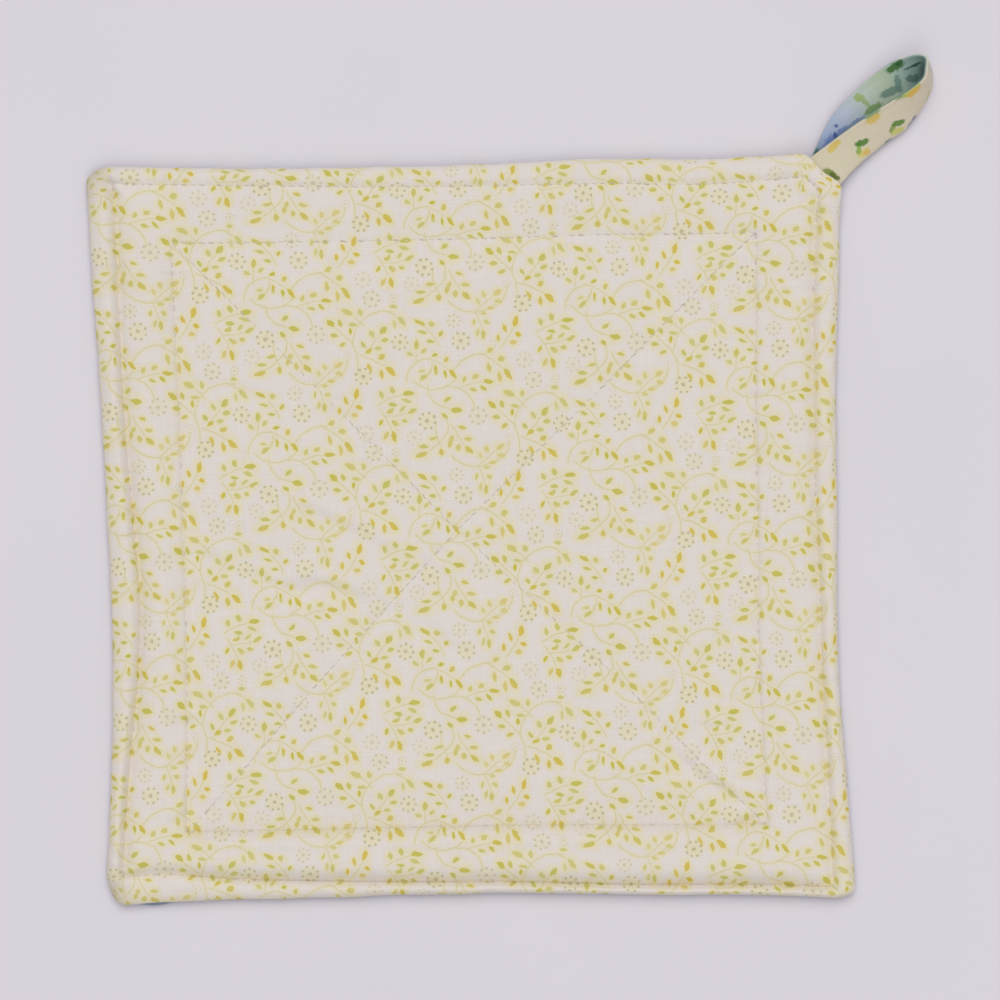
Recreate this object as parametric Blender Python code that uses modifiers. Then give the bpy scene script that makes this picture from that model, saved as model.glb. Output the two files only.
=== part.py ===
"""A quilted pot holder with a hanging loop, lying flat.

Run with: blender --background --python part.py

Two printed cotton panels, each with its half of the wadding, are sewn round the edge, turned
right side out, topstitched and quilted with a square frame and two diagonals. A strap folded
in four is sewn into the seam at one corner and makes the hanging loop, tipped on its side.

Metres, +Z up. The origin is the centre of the pad's underside, X runs along the side that
ends at the loop's corner and Y towards that side. The tables are in millimetres.
"""
import math

import bmesh
import bpy
from mathutils import Matrix, Vector

MM = 0.001

# Pad, in millimetres
HALF_SIDE = 100.5           # nominal half side, before the sides are drawn in
GAP = 0.3                   # between pieces that touch
UNDERSIDE_TOP = 1.7         # seam face of the bottom panel
PANEL_BASE = UNDERSIDE_TOP + GAP
STITCH_IN = 4.2             # topstitching, in from the edge
FRAME_IN = 20.6             # quilted frame, in from the edge
CROSSING = (-4.0, 0.3)      # where the two quilted diagonals cross
FRAME_CELLS = 12            # mesh cells from the frame to the crossing
DRAW_DEPTH = 3.0            # power by which a side's draw-in dies away inside the pad

# Top panel, in millimetres
CHANNEL_TOP = 3.7           # height of the cloth under a quilting stitch
PUFF = 2.3                  # how far the cloth swells above its channels
PUFF_REACH = 19.0           # distance from a channel at which the swelling is full
CROWN = 0.3                 # extra height in the middle of the pad

# Bottom panel, in millimetres
GROOVE_DEPTH = 0.6          # quilting grooves on the underside
GROOVE_REACH = 2.4          # from a groove's bottom to the flat underside

# Hanging loop, in millimetres
STRAP_THICK = 1.1
STRAP_FAR = PANEL_BASE + STRAP_THICK / 2        # middle of the lower end in the seam
STRAP_NEAR = STRAP_FAR + STRAP_THICK + GAP      # middle of the upper end in the seam
STRAP_SAMPLES = 54
SEAM_MOUTH = ((94.3, 100.2), (101.6, 92.2))     # where the strap's edges leave the corner
SEAM_DEPTH = 6.0            # length of strap sewn into the seam
COVER = 0.8                 # cloth over the strap's ends
COVER_FADE = 8.0            # over which the corner's extra height dies away
CUTTER_PROUD = 1.0          # how far the seam's cutter reaches past the cloth

# How far each side stands out from the middle of the pad. "along" runs left to right on the
# top and bottom sides and upwards on the other two.
SIDES = {
    #          (along, out)
    "left": ((-100.5, 101.0), (-71.0, 99.5), (-37.0, 97.4), (0.0, 97.9), (37.0, 99.0),
             (64.0, 100.4), (100.5, 102.2)),
    "right": ((-100.5, 101.8), (-72.0, 100.0), (-38.0, 98.1), (0.0, 98.4), (36.0, 99.0),
              (64.0, 100.3), (100.5, 101.8)),
    "bottom": ((-100.5, 99.6), (-87.0, 98.5), (-50.0, 98.3), (10.0, 98.0), (48.0, 99.5),
               (75.0, 100.3), (100.5, 101.8)),
    "top": ((-100.5, 100.9), (-60.0, 99.4), (0.0, 99.0), (38.0, 100.2), (62.0, 99.5),
            (100.5, 100.8)),
}

# Corners: the radius, and how much of the arc is cut away across the corner.
CORNERS = {
    #           (radius, cut)
    "bottom_left": (4.2, 0.0),
    "bottom_right": (4.2, 0.0),
    "top_left": (4.2, 0.0),
    "top_right": (9.5, 0.18),
}

# Top of the border from the edge to the quilted frame: a rolled rim, the topstitching's
# channel, a puffed strip and the frame's channel.
BORDER = (
    # (in from edge, height)
    (0.0, 2.7),
    (0.5, 3.6),
    (1.3, 4.1),
    (2.6, 4.2),
    (STITCH_IN, 3.4),
    (6.2, 4.5),
    (9.0, 5.2),
    (12.5, 5.4),
    (16.0, 5.0),
    (18.6, 4.3),
    (FRAME_IN, CHANNEL_TOP),
)

# Rim of the bottom panel, from the seam inwards to where it lies flat.
UNDERSIDE_RIM = (
    # (in from edge, height)
    (0.0, 1.1),
    (0.6, 0.5),
    (1.8, 0.1),
    (STITCH_IN, 0.5),
    (6.4, 0.0),
)

# The strap's two long edges from its upper end in the seam, out round the tip and back. The
# inner edge is the one towards the pad's top side, which stands up where the loop is tipped.
STRAP = (
    # (inner edge x, y, z), (outer edge x, y, z)
    ((94.3, 100.2, STRAP_NEAR), (101.6, 92.2, STRAP_NEAR)),
    ((101.5, 105.3, 5.6), (106.9, 97.6, 2.5)),
    ((109.2, 110.4, 6.9), (114.3, 103.4, 1.9)),
    ((114.9, 113.8, 8.0), (119.8, 107.1, 1.8)),
    ((120.7, 117.1, 9.3), (124.4, 112.5, 1.9)),
    ((124.2, 120.0, 10.0), (127.0, 117.4, 2.0)),
    ((124.9, 122.6, 10.2), (127.4, 120.2, 2.0)),
    ((125.1, 125.2, 9.9), (127.1, 122.6, 1.9)),
    ((124.0, 126.8, 8.9), (125.5, 123.9, 1.6)),
    ((121.9, 127.2, 7.2), (123.9, 122.2, 1.3)),
    ((119.2, 126.6, 5.4), (122.8, 119.4, 1.0)),
    ((115.5, 125.2, 3.8), (121.0, 116.6, 0.8)),
    ((107.7, 118.4, 2.4), (114.4, 110.4, 0.8)),
    ((100.9, 112.3, 2.0), (108.4, 104.6, 0.8)),
    ((96.4, 106.0, 2.2), (104.6, 99.0, 1.3)),
    ((94.3, 100.2, STRAP_FAR), (101.6, 92.2, STRAP_FAR)),
)

COLOURS = {
    # node: (red, green, blue), roughness
    "top_panel": ((0.80, 0.72, 0.52), 0.9),
    "bottom_panel": ((0.42, 0.52, 0.58), 0.9),
    "hanging_loop": ((0.66, 0.66, 0.48), 0.9),
}


def smooth(t):
    """Ease from 0 to 1 with level ends."""
    t = min(max(t, 0.0), 1.0)
    return t * t * (3.0 - 2.0 * t)


def spline(rows, t):
    """Point at t, counted in rows, on the smooth curve through a list of vectors."""
    i = min(int(t), len(rows) - 2)
    f = t - i
    p1, p2 = rows[i], rows[i + 1]
    p0 = rows[i - 1] if i > 0 else 2.0 * p1 - p2
    p3 = rows[i + 2] if i + 2 < len(rows) else 2.0 * p2 - p1
    a = 2.0 * p1
    b = p2 - p0
    c = 2.0 * p0 - 5.0 * p1 + 4.0 * p2 - p3
    d = 3.0 * p1 - p0 - 3.0 * p2 + p3
    return 0.5 * (a + b * f + c * f * f + d * f * f * f)


def table(rows, x):
    """Smooth value at x from rows of (x, value)."""
    x = min(max(x, rows[0][0]), rows[-1][0])
    i = 0
    while rows[i + 1][0] < x:
        i += 1
    f = (x - rows[i][0]) / (rows[i + 1][0] - rows[i][0])
    return spline([value for _, value in rows], i + f)


def round_corner(a, b):
    """Move a nominal point near a corner onto arcs about the corner's own centre."""
    name = ("top" if b > 0 else "bottom") + ("_right" if a > 0 else "_left")
    radius, cut = CORNERS[name]
    centre = HALF_SIDE - radius
    p = abs(a) - centre
    q = abs(b) - centre
    if p <= 0.0 or q <= 0.0:
        return a, b
    angle = math.radians(45.0) * min(p, q) / max(p, q)
    if q > p:
        angle = math.radians(90.0) - angle
    reach = max(p, q) * (1.0 - cut * math.sin(2.0 * angle) ** 2)
    a = math.copysign(centre + reach * math.cos(angle), a)
    b = math.copysign(centre + reach * math.sin(angle), b)
    return a, b


def pad_point(a, b):
    """Plan place of a nominal point, from the centre out to HALF_SIDE, on the drawn-in pad."""
    ring = max(abs(a), abs(b))
    inner = max(0.0, 1.0 - ring / (HALF_SIDE - FRAME_IN))
    a, b = round_corner(a, b)
    out_x = table(SIDES["right" if a > 0 else "left"], b) - HALF_SIDE
    out_y = table(SIDES["top" if b > 0 else "bottom"], a) - HALF_SIDE
    x = a + math.copysign(1.0, a) * out_x * (abs(a) / HALF_SIDE) ** DRAW_DEPTH
    y = b + math.copysign(1.0, b) * out_y * (abs(b) / HALF_SIDE) ** DRAW_DEPTH
    return x + CROSSING[0] * inner, y + CROSSING[1] * inner


def seam_mouth():
    """Middle of the strap's mouth in the corner seam, its width, and two plan directions."""
    inner, outer = Vector(SEAM_MOUTH[0]), Vector(SEAM_MOUTH[1])
    across = (inner - outer).normalized()
    outwards = Vector((across.y, -across.x))
    return (inner + outer) / 2, (inner - outer).length, across, outwards


def over_strap(x, y):
    """How fully, from 0 to 1, a plan point is over the strap's ends in the corner seam."""
    middle, width, across, outwards = seam_mouth()
    place = Vector((x, y)) - middle
    beside = abs(place.dot(across)) - width / 2
    behind = -place.dot(outwards) - SEAM_DEPTH
    return smooth(1.0 - beside / COVER_FADE) * smooth(1.0 - behind / COVER_FADE)


def top_height(a, b, x, y):
    """Height of the top panel over a nominal point whose plan place is x, y."""
    ring = max(abs(a), abs(b))
    edge = HALF_SIDE - ring
    if edge <= FRAME_IN:
        height = table(BORDER, edge)
    else:
        to_frame = edge - FRAME_IN
        to_diagonal = abs(abs(a) - abs(b)) / math.sqrt(2.0)
        t = min(1.0, min(to_frame, to_diagonal) / PUFF_REACH)
        swell = PUFF * (1.0 - (1.0 - t) ** 2.4)
        height = CHANNEL_TOP + swell + CROWN * smooth(1.0 - ring / HALF_SIDE)
    corner = STRAP_NEAR + STRAP_THICK / 2 + GAP + COVER
    return height + max(0.0, corner - height) * over_strap(x, y)


def stations():
    """Nominal places of the mesh lines, from the crossing out to the edge."""
    frame = HALF_SIDE - FRAME_IN
    inside = [frame * i / FRAME_CELLS for i in range(FRAME_CELLS)]
    return inside + [HALF_SIDE - row[0] for row in reversed(BORDER)]


def new_object(name, bm, collection):
    """Turn a bmesh in millimetres into an object in metres with its own material."""
    bmesh.ops.scale(bm, vec=(MM, MM, MM), verts=bm.verts)
    bmesh.ops.recalc_face_normals(bm, faces=bm.faces)
    mesh = bpy.data.meshes.new(name)
    bm.to_mesh(mesh)
    bm.free()
    obj = bpy.data.objects.new(name, mesh)
    collection.objects.link(obj)
    if name in COLOURS:
        colour, roughness = COLOURS[name]
        material = bpy.data.materials.new(name + "_cotton")
        material.use_nodes = True
        shader = material.node_tree.nodes["Principled BSDF"]
        shader.inputs["Base Color"].default_value = (*colour, 1.0)
        shader.inputs["Roughness"].default_value = roughness
        mesh.materials.append(material)
    return obj


def top_panel(collection):
    """The quilted panel that shows: crowned between its channels, flat at the seam."""
    lines = stations()
    cells = len(lines) - 1
    bm = bmesh.new()
    bmesh.ops.create_grid(bm, x_segments=2 * cells, y_segments=2 * cells, size=cells)
    for vert in bm.verts:
        i, j = round(vert.co.x), round(vert.co.y)
        a = math.copysign(lines[abs(i)], i)
        b = math.copysign(lines[abs(j)], j)
        x, y = pad_point(a, b)
        vert.co = (x, y, top_height(a, b, x, y))
    # Split each quad along the diagonal that points at the middle, so channels stay crisp.
    rising = [f for f in bm.faces if f.calc_center_median().x * f.calc_center_median().y > 0]
    falling = [f for f in bm.faces if f not in set(rising)]
    bmesh.ops.triangulate(bm, faces=rising, quad_method="FIXED")
    bmesh.ops.triangulate(bm, faces=falling, quad_method="ALTERNATE")
    rim = [edge for edge in bm.edges if edge.is_boundary]
    wall = bmesh.ops.extrude_edge_only(bm, edges=rim)["geom"]
    for vert in (item for item in wall if isinstance(item, bmesh.types.BMVert)):
        vert.co.z = PANEL_BASE
    bmesh.ops.holes_fill(bm, edges=[edge for edge in bm.edges if edge.is_boundary])
    return new_object("top_panel", bm, collection)


def edge_ring(lines, edge):
    """Plan places round the pad at a distance in from its edge, one for each mesh line."""
    ring = HALF_SIDE - edge
    along = [-place for place in reversed(lines[1:])] + lines[:-1]
    square = [(place, -HALF_SIDE) for place in along]
    square += [(HALF_SIDE, place) for place in along]
    square += [(-place, HALF_SIDE) for place in along]
    square += [(-HALF_SIDE, -place) for place in along]
    return [pad_point(a * ring / HALF_SIDE, b * ring / HALF_SIDE) for a, b in square]


def quilting_lines():
    """Ends of the frame's four lines and the two diagonals, in plan."""
    frame = HALF_SIDE - FRAME_IN
    corners = [pad_point(a, b) for a, b in ((-frame, -frame), (frame, -frame),
                                            (frame, frame), (-frame, frame))]
    lines = [(corners[i], corners[(i + 1) % 4]) for i in range(4)]
    lines += [(corner, CROSSING) for corner in corners]
    return [(Vector(start), Vector(end)) for start, end in lines]


def to_line(point, line):
    """Distance in plan from a point to a line between two ends."""
    start, end = line
    run = end - start
    t = min(max((point - start).dot(run) / run.length_squared, 0.0), 1.0)
    return (point - start - run * t).length


def bottom_panel(collection):
    """The panel that lies on the table: flat underneath, with a rolled rim and grooves."""
    lines = stations()
    bm = bmesh.new()
    profile = [(0.0, UNDERSIDE_TOP)] + list(UNDERSIDE_RIM)
    rings = [[bm.verts.new((x, y, height)) for x, y in edge_ring(lines, edge)]
             for edge, height in profile]
    loops = [[bm.edges.new((ring[i - 1], ring[i])) for i in range(len(ring))]
             for ring in rings]
    for outer, inner in zip(loops, loops[1:]):
        bmesh.ops.bridge_loops(bm, edges=outer + inner)
    bm.faces.new(rings[0])
    flat = [bm.faces.new(rings[-1])]
    # Cut the flat underside along each quilting line and either side of it, then lift the
    # line's own vertices into a shallow groove.
    quilting = quilting_lines()
    for start, end in quilting:
        across = (end - start).normalized().to_3d().cross(Vector((0.0, 0.0, 1.0)))
        for offset in (-GROOVE_REACH, 0.0, GROOVE_REACH):
            geometry = set(flat)
            geometry.update(edge for face in flat for edge in face.edges)
            geometry.update(vert for face in flat for vert in face.verts)
            cut = bmesh.ops.bisect_plane(bm, geom=list(geometry), dist=1e-4,
                                         plane_co=start.to_3d() + across * offset,
                                         plane_no=across)
            flat = [item for item in cut["geom"] if isinstance(item, bmesh.types.BMFace)]
    for vert in {vert for face in flat for vert in face.verts}:
        distance = min(to_line(vert.co.to_2d(), line) for line in quilting)
        vert.co.z = GROOVE_DEPTH * max(0.0, 1.0 - distance / GROOVE_REACH)
    return new_object("bottom_panel", bm, collection)


def strap_point(across, along):
    """Point on the strap's middle sheet: across -1 to 1, along -1 to 1 from end to end."""
    rails = [[Vector(row[side]) for row in STRAP] for side in (0, 1)]
    sewn = -seam_mouth()[3].to_3d() * SEAM_DEPTH
    t = (along + 1.0) / 2 * (len(STRAP) + 1)
    if t < 1.0:
        inner, outer = [rail[0] + sewn * (1.0 - t) for rail in rails]
    elif t > len(STRAP):
        inner, outer = [rail[-1] + sewn * (t - len(STRAP)) for rail in rails]
    else:
        inner, outer = [spline(rail, t - 1.0) for rail in rails]
    return inner.lerp(outer, (across + 1.0) / 2)


def hanging_loop(collection):
    """The folded strap: its two ends stacked in the corner seam, its loop tipped over."""
    bm = bmesh.new()
    bmesh.ops.create_grid(bm, x_segments=2, y_segments=STRAP_SAMPLES, size=1.0)
    for vert in bm.verts:
        vert.co = strap_point(vert.co.x, vert.co.y)
    obj = new_object("hanging_loop", bm, collection)
    thick = obj.modifiers.new("Folded strap", "SOLIDIFY")
    thick.thickness = STRAP_THICK * MM
    thick.offset = 0.0
    thick.use_even_offset = True
    return obj


def seam_pocket(panel, cutters):
    """Open the corner seam of the top panel where the strap's ends are sewn in."""
    middle, width, _, outwards = seam_mouth()
    depth = 2 * (SEAM_DEPTH + GAP)
    top = STRAP_NEAR + STRAP_THICK / 2 + GAP
    bottom = PANEL_BASE - CUTTER_PROUD
    bm = bmesh.new()
    bmesh.ops.create_cube(bm, size=1.0)
    bmesh.ops.scale(bm, vec=(depth, width + 2 * GAP, top - bottom), verts=bm.verts)
    turn = Matrix.Rotation(math.atan2(outwards.y, outwards.x), 3, "Z")
    bmesh.ops.rotate(bm, matrix=turn, verts=bm.verts)
    bmesh.ops.translate(bm, vec=(middle.x, middle.y, (top + bottom) / 2), verts=bm.verts)
    pocket = new_object("seam_pocket", bm, cutters)
    pocket.hide_render = True
    pocket.display_type = "WIRE"
    cut = panel.modifiers.new("Corner seam", "BOOLEAN")
    cut.operation = "DIFFERENCE"
    cut.object = pocket


def main():
    for obj in list(bpy.data.objects):
        bpy.data.objects.remove(obj)
    collections = {}
    for name in ("quilted_pot_holder", "cutters"):
        collections[name] = bpy.data.collections.new(name)
        bpy.context.scene.collection.children.link(collections[name])
    holder = collections["quilted_pot_holder"]
    panel = top_panel(holder)
    bottom_panel(holder)
    hanging_loop(holder)
    seam_pocket(panel, collections["cutters"])


main()
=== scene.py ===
"""Looks of a quilted cotton pot holder with a hanging loop, lying flat on a table.

Two cotton panels padded with wadding, the upper one printed, topstitched round the rim and
quilted with a square frame and two diagonals, and a strap folded in four that makes the loop.

Tables and pattern sizes are in millimetres, Blender's own values in metres. The frame's
origin is the centre of the pad's underside, +X runs to the loop's corner and so does +Y.
"""

import math

import bmesh
import bpy
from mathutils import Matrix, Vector, noise


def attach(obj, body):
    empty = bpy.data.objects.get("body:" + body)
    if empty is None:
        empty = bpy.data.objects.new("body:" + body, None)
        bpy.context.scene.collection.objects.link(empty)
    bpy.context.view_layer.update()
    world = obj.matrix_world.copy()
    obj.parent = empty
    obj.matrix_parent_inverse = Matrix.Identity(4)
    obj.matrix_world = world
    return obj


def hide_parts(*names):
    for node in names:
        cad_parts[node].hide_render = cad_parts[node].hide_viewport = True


bl_info = {
    "name": "Quilted pot holder",
    "version": (1, 0, 0),
    "blender": (4, 5, 0),
    "location": "View3D > Sidebar > Pot Holder",
    "description": "A square quilted cotton pot holder with a hanging loop at one corner",
    "category": "Add Mesh",
}

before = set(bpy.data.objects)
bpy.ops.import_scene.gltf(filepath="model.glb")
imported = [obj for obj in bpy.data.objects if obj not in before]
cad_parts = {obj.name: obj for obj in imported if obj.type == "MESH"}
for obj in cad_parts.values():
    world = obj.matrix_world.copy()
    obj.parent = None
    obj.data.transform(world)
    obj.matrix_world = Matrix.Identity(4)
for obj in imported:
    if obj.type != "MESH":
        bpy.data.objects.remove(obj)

MM = 0.001
MATH = "ShaderNodeMath"
VECTOR = "ShaderNodeVectorMath"
REMAP = "ShaderNodeMapRange"

# The pad's outline, within about a millimetre of its solids, in millimetres.
HALF_SIDE = 100.5           # nominal half side, before the sides are drawn in
STITCH_IN = 4.2             # topstitching, in from the edge
FRAME_IN = 20.6             # quilted frame, in from the edge
FRAME_HALF = HALF_SIDE - FRAME_IN
CROSSING = (-4.0, 0.3)      # where the two quilted diagonals cross
DRAW_DEPTH = 3.0            # power by which a side's draw-in dies away inside the pad
RIM_WAVE = 0.28             # unevenness of the sewn rim, in and out
SIDES = {
    #          (along, out)
    "left": ((-100.5, 101.4), (-71.0, 99.7), (-37.0, 98.3), (0.0, 98.9), (37.0, 100.2),
             (64.0, 101.7), (100.5, 103.3)),
    "right": ((-100.5, 102.6), (-72.0, 100.9), (-38.0, 98.9), (0.0, 99.3), (36.0, 99.6),
              (64.0, 100.7), (100.5, 102.3)),
    "bottom": ((-100.5, 100.6), (-87.0, 99.4), (-50.0, 99.0), (10.0, 98.7), (48.0, 99.9),
               (75.0, 100.4), (100.5, 101.8)),
    "top": ((-100.5, 100.9), (-60.0, 99.5), (0.0, 99.4), (38.0, 100.4), (62.0, 99.8),
            (100.5, 101.0)),
}
# How far the stitching, which is never quite straight, strays in from its nominal lines.
TOPSTITCH_STRAY = {
    #         (along, further in)
    "left": ((-100.5, 0.3), (-76.0, 0.3), (-58.0, 1.2), (-35.0, 3.0), (-14.0, 3.9),
             (8.0, 2.7), (40.0, 2.0), (75.0, 2.6), (100.5, 2.6)),
    "right": ((-100.5, 1.6), (-60.0, 0.7), (-23.0, 0.6), (2.0, 1.7), (38.0, 2.0),
              (63.0, 2.4), (100.5, 1.6)),
    "bottom": ((-100.5, 3.6), (-84.0, 3.2), (-66.0, 1.4), (-47.0, 0.5), (-20.0, -0.5),
               (8.0, -1.1), (35.0, -1.5), (100.5, -1.5)),
    "top": ((-100.5, 0.5), (-60.0, 0.5), (-20.0, 1.4), (8.0, 1.8), (35.0, 2.5),
            (75.0, 2.6), (100.5, 1.6)),
}
FRAME_STRAY = {"left": 0.6, "right": 1.7, "bottom": -1.4, "top": 0.0}
STRAY_IN = 60.0             # from the edge, where nothing is left of it
CORNERS = {
    #           (radius, cut)
    "bottom_left": (5.6, 0.0),
    "bottom_right": (4.2, 0.0),
    "top_left": (4.2, 0.0),
    "top_right": (9.5, 0.12),
}

# Top panel: its section from the edge to the frame, and how its rim tucks into the seam.
CHANNEL_TOP = 3.7           # height of the cloth at the stitching, before it is pulled in
BORDER = (
    # (in from edge, height)
    (0.0, 2.7),
    (0.5, 3.6),
    (1.3, 4.3),
    (2.6, 4.5),
    (STITCH_IN, CHANNEL_TOP),
    (6.2, 4.5),
    (9.0, 5.2),
    (12.5, 5.4),
    (16.0, 5.0),
    (18.6, 4.3),
    (FRAME_IN, CHANNEL_TOP),
)
# The strip where it is flattest, and what the top side's has more than that.
FLAT_BORDER = ((STITCH_IN, CHANNEL_TOP), (6.6, 4.2), (10.0, 4.3), (FRAME_IN, CHANNEL_TOP))
TOP_BORDER = ((STITCH_IN, 0.3), (6.6, -0.15), (10.0, -0.4), (FRAME_IN, 0.0))
STRIPS = {
    # side: (fullness of its strip, pull of the topstitching, pull of the quilted frame)
    "top": (0.15, 0.17, 0.12),
    "bottom": (1.1, 1.75, 1.4),
    "left": (0.9, 1.5, 0.6),
    "right": (0.5, 1.1, 0.7),
}
DIAGONAL_PULL = 0.16
FIRST_DIAGONAL = 16         # the least number that stitch_line gives a piece of a diagonal
TUCK = (
    # (in from edge, height above the seam)
    (-0.05, 0.55),
    (0.05, 0.25),
    (0.35, 0.05),
    (0.9, 0.0),
)
SEAM_HEIGHT = 1.95
PUFF_REACH = 13.0           # distance from a channel at which the swelling is full

# Bottom panel: its rim from the seam, round the edge and in to where it lies flat.
UNDER_RIM = (
    # (in from edge, height)
    (0.9, 1.85),
    (0.35, 1.8),
    (0.05, 1.6),
    (0.0, 1.1),
    (0.25, 0.75),
    (0.6, 0.45),
    (1.8, 0.1),
    (STITCH_IN, 0.55),
    (6.4, 0.0),
)
GROOVE_DEPTH = 0.6          # of the quilting grooves on the underside
GROOVE_REACH = 2.4          # from a groove's bottom to the flat underside
SLIP = 1.6                  # how far the backing shows near the lower left corner
SLIP_PLACE = -87.5          # along the bottom side, from its middle

# Hanging loop: the strap's two long edges from its upper end in the seam, out round the tip
# and back. The inner edge stands up where the loop is tipped on its side.
STRAP_THICK = 1.1
STRAP_FAR = 2.55            # height of the lower end in the seam
STRAP_NEAR = 3.95           # height of the upper end in the seam
SEAM_MOUTH = ((94.3, 100.2), (101.6, 92.2))     # where the strap's edges leave the corner
SEAM_DEPTH = 4.5            # length of strap that is modelled inside the seam
COVER = 1.1                 # from the upper end's face to the cloth's over it
COVER_FADE = 8.0            # over which the corner's extra height dies away
TUCK_GAP = 0.3              # between the strap and the cloth tucked in over it
STRAP = (
    # (inner edge x, y, z), (outer edge x, y, z)
    ((*SEAM_MOUTH[0], STRAP_NEAR), (*SEAM_MOUTH[1], STRAP_NEAR)),
    ((101.5, 105.3, 5.6), (106.9, 97.6, 2.5)),
    ((109.2, 110.4, 6.9), (114.3, 103.4, 1.9)),
    ((114.9, 113.8, 8.0), (119.8, 107.1, 1.8)),
    ((120.7, 117.1, 9.3), (124.4, 112.5, 1.9)),
    ((124.2, 120.0, 10.0), (127.0, 117.4, 2.0)),
    ((124.9, 122.6, 10.2), (127.4, 120.2, 2.0)),
    ((125.1, 125.2, 9.9), (127.1, 122.6, 1.9)),
    ((124.0, 126.3, 8.9), (125.9, 123.1, 1.6)),
    ((121.9, 126.6, 7.2), (125.0, 121.2, 1.3)),
    ((119.2, 126.0, 5.4), (123.9, 118.6, 1.0)),
    ((115.5, 124.9, 3.8), (121.6, 116.0, 0.8)),
    ((107.7, 119.1, 2.4), (114.4, 110.4, 0.8)),
    ((100.6, 112.0, 2.0), (108.4, 104.6, 0.8)),
    ((97.0, 105.9, 2.2), (104.6, 99.0, 1.3)),
    ((*SEAM_MOUTH[0], STRAP_FAR), (*SEAM_MOUTH[1], STRAP_FAR)),
)

# Half the strap's section: one face with the dip of the stitching that closes the strap.
STRAP_FACE = (
    # (across -1 inner edge to 1 outer edge, share of half the thickness)
    (-1.0, 0.75),
    (-0.9, 1.0),
    (-0.74, 0.62),
    (-0.55, 0.95),
    (-0.2, 1.0),
    (0.2, 1.05),
    (0.6, 1.0),
    (0.86, 0.85),
    (1.0, 0.45),
)
# Once round: the outer face, the closed fold, the inner face, and the edge where folds meet.
STRAP_SECTION = (
    *[(across, depth, "outer") for across, depth in STRAP_FACE], (1.04, 0.0, "outer"),
    *[(across, -depth, "inner") for across, depth in reversed(STRAP_FACE)], (-0.95, 0.0, "outer"),
)

# Soft creases in the quilted face.
CREASES = (
    # (x, y) to (x, y), depth, half width
    ((-60.0, -11.5), (-44.0, -15.5), 0.45, 1.6),
    ((-50.4, -13.0), (-30.8, -18.6), 0.65, 1.9),
    ((-75.7, -4.3), (-66.0, -11.0), 0.3, 1.8),
    ((-49.3, 6.5), (-19.7, -6.2), 0.5, 2.0),
    ((-73.2, 41.0), (-48.7, 37.8), 0.16, 1.8),
    ((-17.3, -23.9), (-1.2, -35.1), 0.2, 2.0),
    ((-98.0, 97.5), (-93.5, 93.0), 0.7, 1.3),
    ((54.0, -60.5), (72.0, -76.5), 0.8, 1.7),
    ((61.0, -52.5), (65.0, -56.0), 0.4, 1.5),
    ((70.5, -84.0), (77.0, -77.0), 0.5, 1.5),
    ((-84.0, -78.0), (-76.0, -73.0), 0.45, 1.6),
    ((-97.0, -96.0), (-88.0, -88.0), 0.5, 2.2),
)

# The calico's repeat. Each column of repeats starts a little under half a repeat higher.
REPEAT_WIDTH = 43.5
REPEAT_DROP = 42.1
REPEAT_STEP = 19.1
PRINT_START = (-35.5, 21.2, 0.0)    # where the cutter happened to start a repeat
LEAF_PITCH = 3.1            # along the stem, from one pair of leaves to the next
LEAF_HALF = (1.15, 0.62)    # half a leaf's length and width
TIP_LEAF_HALF = (1.45, 0.78)
TIP_LEAF = 1.9              # from the stem's end to the middle of the leaf at its tip
SPRIG_TIP = 3.5             # from the stem's end to just past that leaf
FLOWER_RING = 2.15          # radius of a flower's ring of eight dots
DOT_PITCH = 1.69            # along the ring, from one dot to the next
THREAD_SPACING = 0.37       # quilting cotton has about 27 threads to the centimetre
WEAVE_DEPTH = 0.03
# The sprigs of one group lie clear of each other, so only the nearest one is looked at.
SPRIGS = (
    (
        # (u, v) of the stem's foot, heading, pairs of leaves, bend, size, ink, share of gold
        (4.2, 30.3, 137.0, 2, 0.0, 1.02, 1.0, 0.4),
        (13.0, 39.2, -20.0, 1, 0.047, 1.04, 0.65, 0.1),
        (21.2, 25.0, 88.0, 1, 0.0, 0.95, 0.85, 0.1),
        (38.3, 27.0, -21.0, 2, 0.035, 1.14, 0.95, 0.6),
        (10.6, 13.4, 33.0, 2, 0.028, 1.07, 0.98, 0.25),
        (26.5, 13.4, -25.0, 1, -0.023, 1.11, 0.97, 0.1),
        (37.8, 38.6, 45.0, 2, 0.01, 0.94, 0.6, 0.5),
    ),
    (
        (6.0, 27.0, -16.0, 2, 0.026, 1.12, 1.0, 0.8),
        (7.1, 35.2, 128.0, 1, -0.039, 1.12, 0.7, 0.4),
        (24.5, 25.8, -16.0, 2, 0.037, 0.94, 1.0, 0.5),
        (37.3, 38.9, -60.0, 2, 0.025, 0.86, 0.8, 0.3),
        (12.4, 10.3, -4.0, 2, -0.029, 0.90, 0.8, 0.1),
        (29.4, 5.6, -125.0, 2, 0.034, 1.11, 0.85, 0.4),
    ),
    (
        (7.3, 27.3, 52.0, 2, 0.0, 1.02, 0.9, 0.1),
        (27.3, 29.4, 109.0, 2, -0.042, 0.95, 0.96, 0.3),
        (32.8, 17.7, 24.0, 2, 0.028, 0.97, 1.0, 0.5),
        (0.5, 9.3, 46.0, 2, -0.028, 1.01, 1.0, 0.95),
        (11.2, 12.1, -54.0, 2, 0.021, 0.99, 1.0, 0.7),
        (30.6, 7.8, -68.0, 2, -0.023, 1.01, 0.9, 0.5),
        (25.7, 24.2, -117.0, 1, 0.033, 0.84, 0.75, 0.1),
    ),
)
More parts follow.
